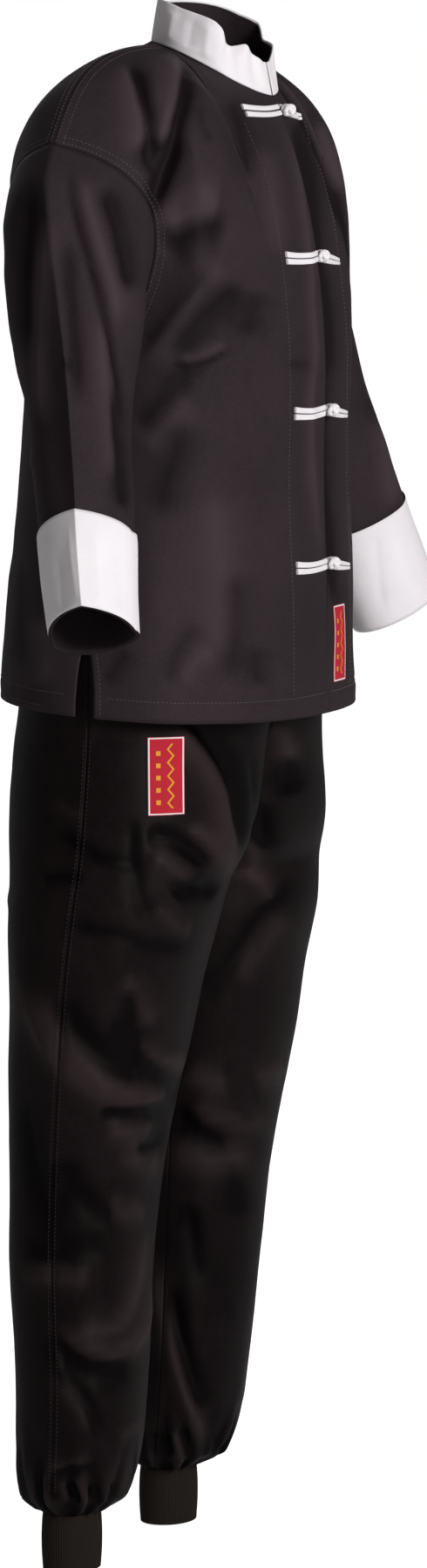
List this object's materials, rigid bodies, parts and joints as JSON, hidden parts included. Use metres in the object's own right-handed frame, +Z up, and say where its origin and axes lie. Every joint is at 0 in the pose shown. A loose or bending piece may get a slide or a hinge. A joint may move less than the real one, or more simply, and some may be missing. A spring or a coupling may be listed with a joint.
{
  "type": "tai chi uniform",
  "caption": "Worn black jacket with a white stand collar, white cuffs and frog fastenings, over trousers with knitted ankle ribs.",
  "frame": {"origin": "middle of the wearer's shoulders, level with the base of the neck at the back", "axes": "+Z up, -Y the way the wearer faces, +X the wearer's left"},
  "size_m": [0.8308, 0.3091, 1.4367],
  "materials": {
    "jacket_drill": "matt black cotton drill",
    "trouser_drill": "soft black cotton drill with a slight sheen",
    "white_cotton": "white cotton twill",
    "white_cord": "white folded braid",
    "black_knit": "ribbed knit",
    "red_woven": "woven satin label"
  },
  "bodies": {
    "root": {"jacket_front_right": "jacket_drill", "jacket_front_left": "jacket_drill", "jacket_back": "jacket_drill", "sleeve_right": "jacket_drill", "sleeve_left": "jacket_drill", "cuff_right": "white_cotton", "cuff_left": "white_cotton", "collar": "white_cotton", "collar_facing": "jacket_drill", "frog_1_right": "white_cord", "frog_1_left": "white_cord", "frog_2_right": "white_cord", "frog_2_left": "white_cord", "frog_3_right": "white_cord", "frog_3_left": "white_cord", "frog_4_right": "white_cord", "frog_4_left": "white_cord", "label_jacket": "red_woven", "leg_front_right": "trouser_drill", "leg_back_right": "trouser_drill", "leg_front_left": "trouser_drill", "leg_back_left": "trouser_drill", "waistband": "trouser_drill", "rib_right": "black_knit", "rib_left": "black_knit", "label_trousers": "red_woven"}
  },
  "joints": []
}
